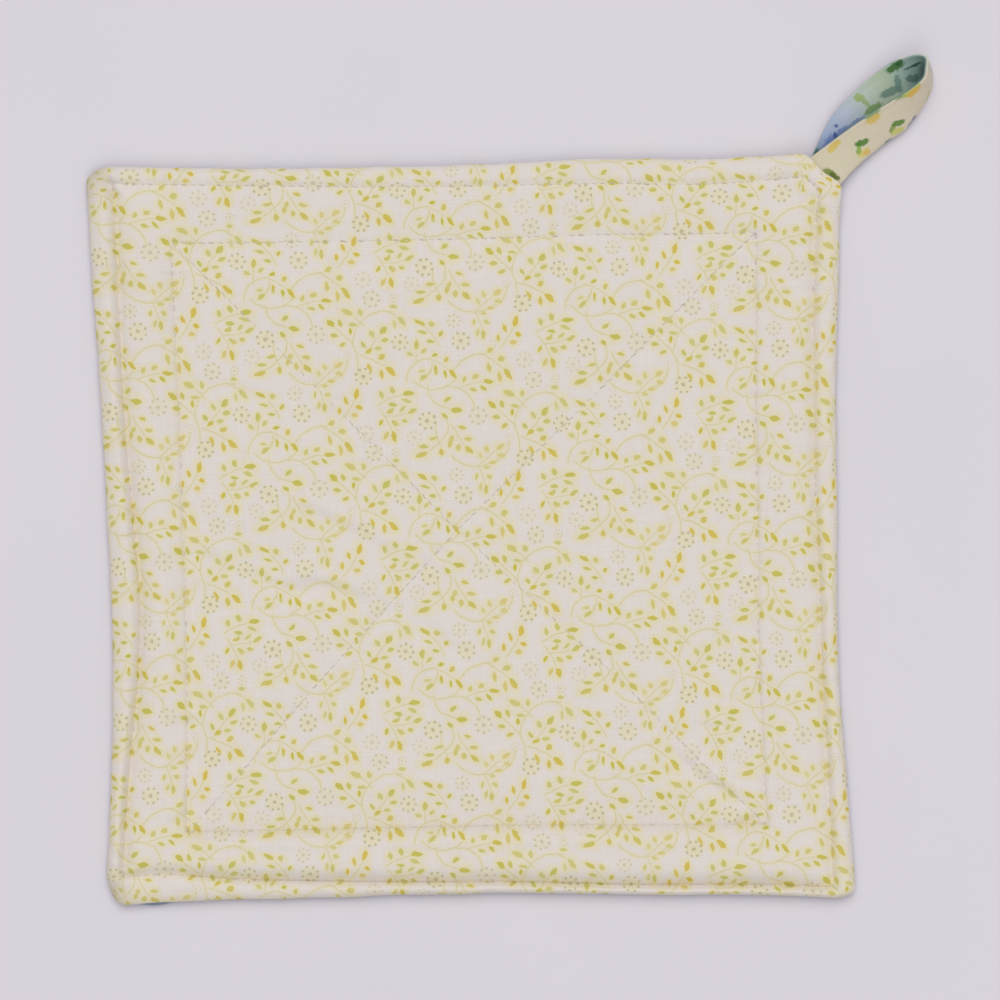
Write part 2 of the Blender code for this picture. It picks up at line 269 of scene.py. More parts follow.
FLOWERS = (
    # (u, v) of the centre, size, strength of ink
    (16.9, 30.5, 0.93, 0.90),
    (33.4, 30.6, 1.00, 0.85),
    (6.8, 21.3, 0.97, 1.00),
    (23.9, 8.9, 1.02, 0.95),
    (37.7, 10.0, 1.00, 0.65),
    (9.4, 0.4, 0.93, 0.70),
    (7.2, 5.8, 0.90, 0.45),
    (31.6, 36.1, 0.80, 0.55),
    (20.3, 4.3, 0.85, 0.40),
    (15.4, 0.5, 0.50, 0.60),
    (2.7, 26.9, 0.50, 0.40),
    (42.7, 30.4, 0.50, 0.35),
)
VINES = (
    # (u, v) of the arc's centre, radius, heading of its middle, sweep
    (12.9, 30.4, 8.7, 127.0, 105.0),
    (-6.2, 24.6, 11.6, 10.0, 44.0),
    (40.0, 3.0, 6.1, -40.0, 74.0),
    (24.4, 19.9, 5.9, 132.0, 96.0),
    (20.5, 24.5, 5.0, -35.0, 70.0),
    (38.9, 18.4, 8.5, 116.0, 66.0),
    (31.0, 18.6, 6.9, 208.0, 46.0),
    (26.0, 24.8, 7.4, 270.0, 100.0),
    (30.3, 11.5, 6.5, 52.0, 104.0),
    (24.6, 7.2, 5.0, 2.0, 36.0),
    (35.2, 7.0, 9.1, 195.0, 38.0),
    (37.0, 4.9, 8.7, 272.0, 106.0),
)

# The strap's printed fruit and leaves on its two faces.
PRINTED_LENGTH = 93.6       # of strap, over which the ground's colours are given in shares
ON_OUTER_FACE = (
    # (along, across) of the centre, heading, length, width, colour
    (4.7, 1.6, -78.0, 4.6, 2.2, "#7d8f3c"),
    (4.9, 2.8, -78.0, 3.4, 1.5, "#5d6f2c"),
    (10.1, -3.6, 4.0, 4.4, 1.9, "#dcc265"),
    (15.6, 3.0, -6.0, 4.0, 2.3, "#ddd07a"),
    (16.4, 3.5, -20.0, 2.6, 1.3, "#e0b96a"),
    (15.1, 1.3, 55.0, 3.3, 1.4, "#8db04c"),
    (16.8, 0.4, -16.0, 4.3, 1.7, "#4a8020"),
    (22.8, -3.6, 2.0, 4.8, 2.4, "#dcc062"),
    (23.2, -4.9, 0.0, 5.0, 0.9, "#84a46c"),
    (26.6, 3.8, -10.0, 4.2, 1.9, "#cdce72"),
    (25.9, 2.1, 40.0, 3.0, 1.5, "#8aa24c"),
    (28.0, 1.8, -24.0, 3.9, 1.8, "#4f861f"),
    (22.8, 5.0, 8.0, 2.4, 1.0, "#7f8b7c"),
    (31.3, 4.7, 14.0, 4.4, 1.1, "#8d92a8"),
    (32.0, -4.9, 2.0, 3.2, 0.9, "#7f9d62"),
    (35.6, -4.5, 6.0, 6.4, 2.4, "#bcc25c"),
    (35.9, -3.4, 4.0, 5.0, 2.3, "#e6bd55"),
    (38.6, 3.3, 40.0, 3.6, 1.3, "#c9ca78"),
)
ON_INNER_FACE = (
    # (along, across) of the centre, heading, length, width, colour
    (87.6, -4.9, 20.0, 4.6, 2.4, "#3f7166"),
    (82.6, -1.6, 0.0, 8.0, 4.0, "#6c83b6"),
    (77.6, -0.6, 10.0, 6.0, 2.2, "#7389ba"),
    (76.8, -2.9, 20.0, 1.5, 0.9, "#4e66a0"),
    (79.0, -1.7, -30.0, 1.9, 1.1, "#3d5795"),
    (72.6, 1.0, 14.0, 7.0, 1.8, "#7f93b4"),
    (67.3, -3.3, 35.0, 2.8, 2.0, "#9db468"),
    (66.9, -1.2, 82.0, 4.6, 1.3, "#9bb37c"),
    (66.2, 1.6, 10.0, 6.0, 2.0, "#7c9c5c"),
    (59.6, 1.0, 12.0, 6.6, 2.4, "#6f8f80"),
    (56.6, 0.6, -70.0, 5.0, 1.9, "#6d8f86"),
    (54.9, -3.8, 6.0, 5.4, 2.2, "#346a1e"),
    (53.4, -4.4, -28.0, 2.4, 1.4, "#2f6026"),
    (50.6, -1.4, 12.0, 5.4, 0.7, "#24473f"),
    (52.4, 1.6, 30.0, 4.2, 2.2, "#5d7d72"),
)
OUTER_GROUND = (
    # (share of the printed length, colour)
    (0.05, "#dcd3b8"),
    (0.25, "#dfd4ba"),
    (0.44, "#e1d6bc"),
    (0.52, "#c4cfc6"),
    (1.00, "#b4c0cc"),
)
# The inner face's ground darkens to green grey at the loop's tip, share 0.5. This is partly the
# print and partly painted shade of the pocket inside the loop.
INNER_GROUND_AND_SHADE = (
    # (share of the printed length, colour)
    (0.50, "#7b9890"),
    (0.57, "#98b1a6"),
    (0.64, "#b9c7ac"),
    (0.71, "#bdcbc0"),
    (0.78, "#b9c4d5"),
    (0.87, "#a2b1cf"),
    (0.93, "#7b93a6"),
)


def linear(code):
    """Turn an sRGB hex colour into linear RGB."""
    parts = [int(code[i:i + 2], 16) / 255 for i in (1, 3, 5)]
    return tuple(c / 12.92 if c <= 0.04045 else ((c + 0.055) / 1.055) ** 2.4 for c in parts)


class PotHolderSizes(bpy.types.PropertyGroup):
    puff: bpy.props.FloatProperty(
        name="Puff", description="How far the cloth swells above its quilted channels",
        default=0.0009, min=0.0, max=0.004, unit="LENGTH")
    crown: bpy.props.FloatProperty(
        name="Crown", description="Extra height in the middle of the pad",
        default=0.0003, min=0.0, max=0.002, unit="LENGTH")
    pucker: bpy.props.FloatProperty(
        name="Pucker", description="Height of the small gathers beside the stitching",
        default=0.00022, min=0.0, max=0.0006, unit="LENGTH")
    stitch: bpy.props.FloatProperty(
        name="Stitch length", description="From one needle hole to the next",
        default=0.0024, min=0.001, max=0.005, unit="LENGTH")
    thread: bpy.props.FloatProperty(
        name="Thread thickness", description="Diameter of the sewing thread",
        default=0.0003, min=0.0001, max=0.001, unit="LENGTH")
    view_width: bpy.props.FloatProperty(
        name="View width", description="Width of the square that the camera sees",
        default=0.2716, min=0.1, max=1.0, unit="LENGTH")
    view_centre: bpy.props.FloatVectorProperty(
        name="View centre", description="Place on the pad under the camera",
        default=(0.00775, 0.0082), size=2, unit="LENGTH")
    view_roll: bpy.props.FloatProperty(
        name="View roll", description="How far the pad looks turned to the left",
        default=math.radians(1.06), subtype="ANGLE")


class PotHolderColours(bpy.types.PropertyGroup):
    ground: bpy.props.FloatVectorProperty(
        name="Cotton", description="Ground of the printed cotton",
        default=linear("#eae2da"), size=3, subtype="COLOR")
    leaf: bpy.props.FloatVectorProperty(
        name="Leaf", description="Olive yellow of the young leaves",
        default=linear("#c4c352"), size=3, subtype="COLOR")
    gold: bpy.props.FloatVectorProperty(
        name="Gold leaf", description="Mustard of the ripe leaves",
        default=linear("#dbc350"), size=3, subtype="COLOR")
    wash: bpy.props.FloatVectorProperty(
        name="Wash", description="Soft yellow wash round the leaves and flowers",
        default=linear("#ece091"), size=3, subtype="COLOR")
    vine: bpy.props.FloatVectorProperty(
        name="Vine", description="Pale yellow of the stems and vines",
        default=linear("#d4ca80"), size=3, subtype="COLOR")
    flower: bpy.props.FloatVectorProperty(
        name="Flower", description="Grey green of the dotted flowers",
        default=linear("#b2b17c"), size=3, subtype="COLOR")
    backing: bpy.props.FloatVectorProperty(
        name="Backing", description="Dusty blue of the cotton underneath",
        default=linear("#8293a1"), size=3, subtype="COLOR")
    thread: bpy.props.FloatVectorProperty(
        name="Thread", description="Off-white sewing thread",
        default=linear("#dcd3c4"), size=3, subtype="COLOR")
    table: bpy.props.FloatVectorProperty(
        name="Table", description="Pale table top under the pot holder",
        default=linear("#e6e0e7"), size=3, subtype="COLOR")


# Shape of the pad

def smooth(t):
    """Ease from 0 to 1 with level ends."""
    t = min(max(t, 0.0), 1.0)
    return t * t * (3.0 - 2.0 * t)


def spline(rows, t):
    """Point at t, counted in rows, on the smooth curve through a list of vectors."""
    i = min(int(t), len(rows) - 2)
    f = t - i
    p1, p2 = rows[i], rows[i + 1]
    p0 = rows[i - 1] if i > 0 else 2.0 * p1 - p2
    p3 = rows[i + 2] if i + 2 < len(rows) else 2.0 * p2 - p1
    a = 2.0 * p1
    b = p2 - p0
    c = 2.0 * p0 - 5.0 * p1 + 4.0 * p2 - p3
    d = 3.0 * p1 - p0 - 3.0 * p2 + p3
    return 0.5 * (a + b * f + c * f * f + d * f * f * f)


def table(rows, x):
    """Smooth value at x from rows of (x, value)."""
    x = min(max(x, rows[0][0]), rows[-1][0])
    i = 0
    while rows[i + 1][0] < x:
        i += 1
    f = (x - rows[i][0]) / (rows[i + 1][0] - rows[i][0])
    return spline([value for _, value in rows], i + f)


def round_corner(a, b):
    """Move a nominal point near a corner onto arcs about the corner's own centre."""
    name = ("top" if b > 0 else "bottom") + ("_right" if a > 0 else "_left")
    radius, cut = CORNERS[name]
    centre = HALF_SIDE - radius
    p = abs(a) - centre
    q = abs(b) - centre
    if p <= 0.0 or q <= 0.0:
        return a, b
    angle = math.radians(45.0) * min(p, q) / max(p, q)
    if q > p:
        angle = math.radians(90.0) - angle
    reach = max(p, q) * (1.0 - cut * math.sin(2.0 * angle) ** 2)
    a = math.copysign(centre + reach * math.cos(angle), a)
    b = math.copysign(centre + reach * math.sin(angle), b)
    return a, b


def stray(side, out, along):
    """How far in the stitching pulls the cloth at a nominal place: out from the middle, along."""
    rows = ((0.0, 0.0), (STITCH_IN, table(TOPSTITCH_STRAY[side], along)),
            (FRAME_IN, FRAME_STRAY[side]), (STRAY_IN, 0.0))
    return table(rows, HALF_SIDE - abs(out))


def strays(a, b):
    """The same both ways for a nominal point, as the steps in x and y to take off its place."""
    x = math.copysign(1.0, a) * stray("right" if a > 0 else "left", a, b)
    y = math.copysign(1.0, b) * stray("top" if b > 0 else "bottom", b, a)
    return x, y


def pad_point(a, b):
    """Plan place of a nominal point, from the centre out to HALF_SIDE, on the drawn-in pad."""
    ring = max(abs(a), abs(b))
    inner = max(0.0, 1.0 - ring / FRAME_HALF)
    a, b = round_corner(a, b)
    out_x = table(SIDES["right" if a > 0 else "left"], b) - HALF_SIDE
    out_y = table(SIDES["top" if b > 0 else "bottom"], a) - HALF_SIDE
    out_x *= (abs(a) / HALF_SIDE) ** DRAW_DEPTH
    out_y *= (abs(b) / HALF_SIDE) ** DRAW_DEPTH
    in_x, in_y = strays(a, b)
    x = a + math.copysign(1.0, a) * out_x - in_x
    y = b + math.copysign(1.0, b) * out_y - in_y
    return x + CROSSING[0] * inner, y + CROSSING[1] * inner


def seam_mouth():
    """Middle and width of the strap where it leaves the corner, and the ways across and out."""
    inner, outer = Vector(SEAM_MOUTH[0]), Vector(SEAM_MOUTH[1])
    across = (inner - outer).normalized()
    return (inner + outer) / 2, (inner - outer).length, across, Vector((across.y, -across.x))


def over_strap(x, y, fade=COVER_FADE):
    """How fully, from 0 to 1, a plan point is over the strap's ends in the corner seam."""
    middle, width, across, outwards = seam_mouth()
    place = Vector((x, y)) - middle
    beside = abs(place.dot(across)) - width / 2
    behind = -place.dot(outwards) - SEAM_DEPTH
    return smooth(1.0 - beside / fade) * smooth(1.0 - behind / fade)


def stitch_line(a, b):
    """Distance from the nearest stitching and place along it, both nominal, and its number."""
    ring = max(abs(a), abs(b))
    along = a if abs(b) == ring else b
    lines = [(abs(HALF_SIDE - STITCH_IN - ring), along, 0), (abs(FRAME_HALF - ring), along, 1)]
    if ring <= FRAME_HALF:
        lines.append((abs(abs(a) - abs(b)) / math.sqrt(2.0),
                      (abs(a) + abs(b)) / math.sqrt(2.0), 2))
    distance, along, line = min(lines)
    number = (a > 0) + 2 * (b > 0) + 4 * (abs(a) > abs(b)) + 8 * line
    return distance, along, number


def crease_depth(x, y):
    """Depth of the creases at a plan point."""
    point = Vector((x, y))
    depth = 0.0
    for start, end, deep, half_width in CREASES:
        start, run = Vector(start), Vector(end) - Vector(start)
        t = (point - start).dot(run) / run.length_squared
        if -0.4 < t < 1.4:
            away = (point - start).cross(run) / run.length
            bend = 1.2 * math.sin(3.0 * t + start.x)
            fade = smooth((t + 0.25) / 0.5) * smooth((1.25 - t) / 0.5)
            across = (away + bend) / half_width
            # A trough, steep on one side, with a low ridge beside it.
            trough = math.exp(-(across / (2.2 if across > 0.0 else 0.8)) ** 2)
            ridge = math.exp(-((across + 1.9) / 1.2) ** 2)
            depth += deep * fade * (trough - 0.7 * ridge)
    return depth


def side_shares(a, b):
    """How much each side has of a nominal point: all or nothing but near the diagonals."""
    blend = 24.0
    return {
        "top": smooth(0.5 + (b - abs(a)) / blend),
        "bottom": smooth(0.5 - (b + abs(a)) / blend),
        "right": smooth(0.5 + (a - abs(b)) / blend),
        "left": smooth(0.5 - (a + abs(b)) / blend),
    }


def top_height(a, b, x, y, sizes):
    """Height of the printed face over a nominal point whose plan place is x, y."""
    edge = HALF_SIDE - max(abs(a), abs(b))
    shares = side_shares(a, b)
    above, below, left = shares["top"], shares["bottom"], shares["left"]
    full, stitch_pull, frame_pull = [
        sum(shares[side] * row[i] for side, row in STRIPS.items()) for i in range(3)]
    if edge <= FRAME_IN:
        height = table(BORDER, edge)
        # The rim is plump on the left, and low at the top, where it is hardly pinched.
        height += (0.5 * left - 0.3 * above) * math.exp(-((edge - 2.4) / 1.2) ** 2)
        height += 0.3 * above * smooth((edge - 1.3) / 2.9)
        if edge > STITCH_IN:
            flat = table(FLAT_BORDER, edge) + above * table(TOP_BORDER, edge)
            height = flat + (height - flat) * full
            # The bottom strip stands up beside the frame and again beside the topstitching.
            height += 0.7 * below * math.exp(-((edge - 17.0) / 2.4) ** 2)
            height += 0.3 * below * math.exp(-((edge - 8.0) / 2.5) ** 2)
    else:
        to_diagonal = abs(abs(a) - abs(b)) / math.sqrt(2.0)
        swell = smooth((edge - FRAME_IN) / PUFF_REACH)
        swell *= 0.7 + 0.3 * smooth(to_diagonal / PUFF_REACH)
        height = CHANNEL_TOP + sizes.puff / MM * swell
        height += sizes.crown / MM * smooth(1.0 - math.hypot(a, b) / (1.3 * HALF_SIDE))
    corner = STRAP_NEAR + STRAP_THICK / 2 + COVER
    height += max(0.0, corner - height) * over_strap(x, y)
    # The channels are sharpest at the stitching, and the cloth gathers beside it.
    distance, along, number = stitch_line(a, b)
    if edge < STITCH_IN + 6.0:
        # The bottom's pull is weak near its left end, where the backing has slipped out.
        slack = 0.7 * below * (1.0 - smooth((a + 88.0) / 18.0))
        pull = stitch_pull - STRIPS["bottom"][1] * slack
        reach = 1.1 + 0.4 * (below - slack + left) if edge > STITCH_IN else 0.45
    elif number < FIRST_DIAGONAL:
        pull = frame_pull
        reach = 0.8 + 1.2 * below if edge > FRAME_IN else 0.5
    else:
        pull, reach = DIAGONAL_PULL, 0.8
    height -= pull * math.exp(-distance / reach)
    gather = noise.noise(Vector((along / 2.3, distance / 7.0, number * 3.7)))
    gather += 0.6 * noise.noise(Vector((along / 5.1, distance / 9.0, number * 5.3)))
    height += 2.2 * sizes.pucker / MM * gather * math.exp(-distance / 3.6) * smooth(edge / 2.0)
    # The wadding and the cloth over it are never quite even.
    level = smooth(edge / 8.0)
    height += level * 0.45 * noise.noise(Vector((x / 26.0, y / 26.0, 1.3)))
    height += level * 0.16 * noise.noise(Vector((x / 8.5, y / 8.5, 4.1)))
    return height - crease_depth(x, y)


def rim_wave(a, b):
    """Small unevenness of the rim, in millimetres outwards."""
    return RIM_WAVE * noise.noise(Vector((a / 9.0, b / 9.0, 7.7)))


def backing_wave(a, b):
    """The same for the backing, which lies a little further in but for where it slipped out."""
    slip = smooth(1.0 - abs(a - SLIP_PLACE) / 8.0) * smooth((-b - 90.0) / 8.0)
    return rim_wave(a, b) - 0.3 + SLIP * slip


def mesh_lines(step, border_step, rim_step):
    """Nominal places of the mesh lines from the crossing out to the edge."""
    inside = round(FRAME_HALF / step)
    border = round((FRAME_IN - STITCH_IN) / border_step)
    rim = round(STITCH_IN / rim_step)
    lines = [FRAME_HALF * i / inside for i in range(inside)]
    lines += [FRAME_HALF + (FRAME_IN - STITCH_IN) * i / border for i in range(border)]
    lines += [HALF_SIDE - STITCH_IN + STITCH_IN * i / rim for i in range(rim + 1)]
    return lines


def at_line(k, lines):
    """Signed place of mesh line k, which may fall between two lines."""
    low = min(int(abs(k)), len(lines) - 2)
    return math.copysign(lines[low] + (lines[low + 1] - lines[low]) * (abs(k) - low), k)


def finish_piece(name, bm, materials):
    """Turn a closed bmesh in millimetres into a smooth object in metres on the pot holder."""
    bmesh.ops.recalc_face_normals(bm, faces=bm.faces)
    bmesh.ops.scale(bm, vec=(MM, MM, MM), verts=bm.verts)
    mesh = bpy.data.meshes.new(name)
    for face in bm.faces:
        face.smooth = True
    bm.to_mesh(mesh)
    bm.free()
    obj = bpy.data.objects.new(name, mesh)
    bpy.context.scene.collection.objects.link(obj)
    for material in materials:
        mesh.materials.append(material)
    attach(obj, "root")
    return obj


def pad_panel(name, lines, rim, tuck, height, spread, lift, material):
    """One padded panel: its face on a square grid, its rim tucked into the seam, its back flat.

    The face has the given height, and its rim the given spread outwards. The tuck is lifted
    over the strap's ends. The cloth's own lengths are its "Cloth" map in millimetres, so that
    a print follows it.
    """
    edge = len(lines) - 1
    cells = edge + len(tuck)
    # Cloth from the middle to each mesh line, over the rim's rounded section and under it.
    lengths = [0.0]
    for near, far in zip(lines, lines[1:]):
        rise = 0.0
        if HALF_SIDE - near <= STITCH_IN:
            rise = table(rim, HALF_SIDE - far) - table(rim, HALF_SIDE - near)
        lengths.append(lengths[-1] + math.hypot(far - near, rise))
    section = [(0.0, rim[0][1])] + list(tuck)
    for near, far in zip(section, section[1:]):
        lengths.append(lengths[-1] + math.hypot(far[0] - near[0], far[1] - near[1]))
    bm = bmesh.new()
    bmesh.ops.create_grid(bm, x_segments=2 * cells, y_segments=2 * cells, size=cells)
    cloth = bm.loops.layers.uv.new("Cloth")
    bake = bm.loops.layers.uv.new("OFBake")
    laid = {}
    for vert in bm.verts:
        i, j = round(vert.co.x), round(vert.co.y)
        row = max(abs(i), abs(j))
        fit = min(1.0, edge / max(row, 1))
        a, b = at_line(i * fit, lines), at_line(j * fit, lines)
        inner = max(0.0, 1.0 - max(abs(a), abs(b)) / FRAME_HALF)
        u, v = at_line(i, lengths), at_line(j, lengths)
        # Stitching that strays in crosses the print and leaves it where it is.
        in_x, in_y = strays(a, b)
        laid[vert] = (u, v), (u + CROSSING[0] * inner - in_x, v + CROSSING[1] * inner - in_y)
        if row <= edge:
            x, y = pad_point(a, b)
            z = height(a, b, x, y)
            wave = spread(a, b) * smooth(1.0 - (HALF_SIDE - max(abs(a), abs(b))) / 6.0)
        else:
            inset, z = tuck[row - edge - 1]
            x, y = pad_point(a * (1.0 - inset / HALF_SIDE), b * (1.0 - inset / HALF_SIDE))
            z += lift * over_strap(x, y, 1.5) * (row < cells)
            wave = spread(a, b) * smooth(1.0 - inset / 6.0)
        out = Vector((a, b)).normalized() * wave
        vert.co = (x + out.x, y + out.y, z)
    # The cloth is folded sharply along the stitching.
    folds = [lines.index(half) for half in (FRAME_HALF, HALF_SIDE - STITCH_IN)]
    for line in bm.edges:
        rows = {max(abs(u), abs(v)) for u, v in (laid[vert][0] for vert in line.verts)}
        line.smooth = rows not in [{lengths[fold]} for fold in folds]
    reach = lengths[-1] / 0.49
    for face in bm.faces:
        for loop in face.loops:
            (u, v), place = laid[loop.vert]
            loop[bake].uv = (0.5 + u / reach, 0.5 + v / reach)
            loop[cloth].uv = place
    # The flat back is hidden inside the pad, so it gets a corner of the baking map to itself.
    hidden = bmesh.ops.holes_fill(bm, edges=[line for line in bm.edges if line.is_boundary])
    for face in hidden["faces"]:
        for loop in face.loops:
            loop[bake].uv = (0.992 + loop.vert.co.x * 4e-5, 0.5 + loop.vert.co.y * 4e-5)
    return finish_piece(name, bm, [material])


def under_height(a, b, x, y):
    """Height of the underside over a nominal point: flat on the table but for its grooves."""
    edge = HALF_SIDE - max(abs(a), abs(b))
    if edge <= UNDER_RIM[-1][0]:
        return table(UNDER_RIM, edge)
    distance, along, number = stitch_line(a, b)
    gather = 0.5 + 0.5 * noise.noise(Vector((along / 2.3, distance / 5.0, number * 3.7)))
    groove = GROOVE_DEPTH * max(0.0, 1.0 - distance / GROOVE_REACH) ** 2
    return groove + 0.12 * gather * math.exp(-distance / 3.0)


# Stitching

def stitch_rows(step):
    """Rows of nominal needle holes: the topstitching, then the frame and the diagonals."""
    rows = {"topstitching": [], "quilting": []}
    for name, half in (("topstitching", HALF_SIDE - STITCH_IN), ("quilting", FRAME_HALF)):
        count = round(2.0 * half / step)
        places = [half * (2.0 * i / count - 1.0) for i in range(count + 1)]
        rows[name] += [[(p, -half) for p in places], [(half, p) for p in places]]
        rows[name] += [[(-p, half) for p in places], [(-half, -p) for p in places]]
    count = round(2.0 * math.sqrt(2.0) * FRAME_HALF / step)
    places = [FRAME_HALF * (2.0 * i / count - 1.0) for i in range(count + 1)]
    rows["quilting"] += [[(p, p) for p in places], [(p, -p) for p in places]]
    return rows


def sew(bm, holes, thread, up):
    """Lay one thread along a row of needle holes, proud of the cloth and dipping at each."""
    spans = len(holes) - 1
    tube = bmesh.ops.create_grid(bm, x_segments=6, y_segments=6 * spans, size=1.0)["verts"]
    for vert in tube:
        angle = math.pi * vert.co.x
        place = (vert.co.y + 1.0) / 2 * spans
        k = min(int(place), spans - 1)
        f = place - k
        run = holes[k + 1] - holes[k]
        across = up.cross(run).normalized()
        rise = 1.1 * math.sqrt(max(0.0, math.sin(math.pi * f))) - 0.9
        sway = 0.35 * math.sin(2.0 * math.pi * f)
        middle = holes[k] + run * f + (up * rise + across * sway) * thread
        vert.co = middle + (across * math.cos(angle) + up * math.sin(angle)) * thread / 2
    bmesh.ops.remove_doubles(bm, verts=tube, dist=1e-4)


# Hanging loop

def strap_point(across, along):
    """Point on the strap's middle sheet: across -1 to 1, along -1 to 1 from end to end."""
    rails = [[Vector(row[side]) for row in STRAP] for side in (0, 1)]
    sewn = -seam_mouth()[-1].to_3d() * SEAM_DEPTH
    t = (along + 1.0) / 2 * (len(STRAP) + 1)
    if t < 1.0:
        inner, outer = [rail[0] + sewn * (1.0 - t) for rail in rails]
    elif t > len(STRAP):
        inner, outer = [rail[-1] + sewn * (t - len(STRAP)) for rail in rails]
    else:
        inner, outer = [spline(rail, t - 1.0) for rail in rails]
    return inner.lerp(outer, (across + 1.0) / 2)


def strap_frame(along):
    """Middle of the strap, its direction across, its width and the way its outer face looks."""
    ahead = strap_point(0.0, min(along + 0.004, 1.0)) - strap_point(0.0, max(along - 0.004, -1.0))
    width = strap_point(1.0, along) - strap_point(-1.0, along)
    return strap_point(0.0, along), width, width.cross(ahead).normalized()


def strap_mesh(samples):
    """The folded strap once round its section and along its length, with its own map."""
    around = len(STRAP_SECTION)
    bm = bmesh.new()
    bmesh.ops.create_grid(bm, x_segments=around, y_segments=samples, size=1.0)
    layer = bm.loops.layers.uv.new("Strap")
    lengths = [0.0]
    for k in range(samples):
        near, far = [strap_point(0.0, 2.0 * i / samples - 1.0) for i in (k, k + 1)]
        lengths.append(lengths[-1] + (far - near).length)
    frames = [strap_frame(2.0 * k / samples - 1.0) for k in range(samples + 1)]
    laid = {}
    for vert in bm.verts:
        i = round((vert.co.x + 1.0) / 2 * around)
        k = round((vert.co.y + 1.0) / 2 * samples)
        across, depth, _ = STRAP_SECTION[i % around]
        middle, width, outwards = frames[k]
        wrinkle = 0.16 * noise.noise(Vector((across * 1.6, lengths[k] / 3.5, depth + 2.1)))
        vert.co = middle + width / 2 * across + outwards * (STRAP_THICK / 2 * depth + wrinkle)
        laid[vert] = (i, across * width.length / 2, lengths[k])
    for face in bm.faces:
        first = min(laid[vert][0] for vert in face.verts)
        face.material_index = int(STRAP_SECTION[first % around][2] == "inner")
        for loop in face.loops:
            _, across, along = laid[loop.vert]
            loop[layer].uv = (along, across)
    bmesh.ops.remove_doubles(bm, verts=bm.verts, dist=1e-4)
    bmesh.ops.holes_fill(bm, edges=[edge for edge in bm.edges if edge.is_boundary])
    return bm, lengths[-1]


# Materials

def first_output(node):
    """The first output of a node that its settings leave open."""
    return next(out for out in node.outputs if out.enabled)


def add(tree, kind, *inputs, **settings):
    """Add a shader node. Its open inputs take values, sockets or nodes in order, None skips."""
    made = tree.nodes.new(kind)
    for name, value in settings.items():
        setattr(made, name, value)
    for socket, value in zip([s for s in made.inputs if s.enabled], inputs):
        if isinstance(value, bpy.types.Node):
            value = first_output(value)
        if isinstance(value, bpy.types.NodeSocket):
            tree.links.new(value, socket)
        elif value is not None:
            socket.default_value = value
    return made


def new_material(name):
    """An empty material with a Principled shader, its tree and the shader."""
    material = bpy.data.materials.new(name)
    material.use_nodes = True
    tree = material.node_tree
    return material, tree, tree.nodes["Principled BSDF"]


def new_group(name, inputs, outputs):
    """An empty node group with its inputs and outputs, (name, kind) each, and its sockets."""
    tree = bpy.data.node_groups.new(name, "ShaderNodeTree")
    for label, kind in inputs:
        tree.interface.new_socket(name=label, in_out="INPUT", socket_type=kind)
    for label, kind in outputs:
        tree.interface.new_socket(name=label, in_out="OUTPUT", socket_type=kind)
    return tree, tree.nodes.new("NodeGroupInput").outputs, tree.nodes.new("NodeGroupOutput").inputs


FLOAT = "NodeSocketFloat"
PLACE = "NodeSocketVector"
MOTIF_INPUTS = [("Cloth", PLACE), ("Place", PLACE), ("Along", PLACE), ("Across", PLACE)]


def add_motif_place(tree, into):
    """Nodes for a point's place along and across the nearest copy of a motif, in mm."""
    away = add(tree, VECTOR, into["Cloth"], into["Place"], operation="SUBTRACT")
    copy = add(tree, VECTOR, away, (0.5, 0.5, 0.5), (-0.5, -0.5, -0.5), operation="WRAP")
    return [add(tree, VECTOR, copy, into[way], operation="DOT_PRODUCT")
            for way in ("Along", "Across")]


def nearest_group():
    """The nearest motif so far of a chain: a point's place on it in mm, and its own kind."""
    tree, into, out = new_group(
        "Nearest motif",
        MOTIF_INPUTS + [("Gold", FLOAT), ("Middle", PLACE), ("Kind", PLACE),
                        ("Spot", PLACE), ("Own", PLACE), ("Reach", FLOAT)],
        [("Spot", PLACE), ("Own", PLACE), ("Reach", FLOAT)])
    x, y = add_motif_place(tree, into)
    spot = add(tree, "ShaderNodeCombineXYZ", x, y, into["Gold"])
    reach = add(tree, VECTOR, spot, into["Middle"], operation="DISTANCE")
    nearer = add(tree, MATH, reach, into["Reach"], operation="LESS_THAN")
    for label, value in (("Spot", spot), ("Own", into["Kind"])):
        kept = add(tree, "ShaderNodeMix", nearer, into[label], value, data_type="VECTOR")
        tree.links.new(first_output(kept), out[label])
    reach = add(tree, MATH, reach, into["Reach"], operation="MINIMUM")
    tree.links.new(reach.outputs[0], out["Reach"])
    return tree


def add_leaf(tree, place, half_length, half_width):
    """Nodes for a pointed oval about the place (0, 0): 1 at its outline and less inside."""
    long_way = add(tree, VECTOR, place, (1.0 / half_length, 0.0, 0.0), operation="DOT_PRODUCT")
    short_way = add(tree, VECTOR, place, (0.0, 1.0 / half_width, 0.0), operation="DOT_PRODUCT")
    short_way = add(tree, MATH, short_way, operation="ABSOLUTE")
    return add(tree, MATH, long_way, long_way, short_way, operation="MULTIPLY_ADD")


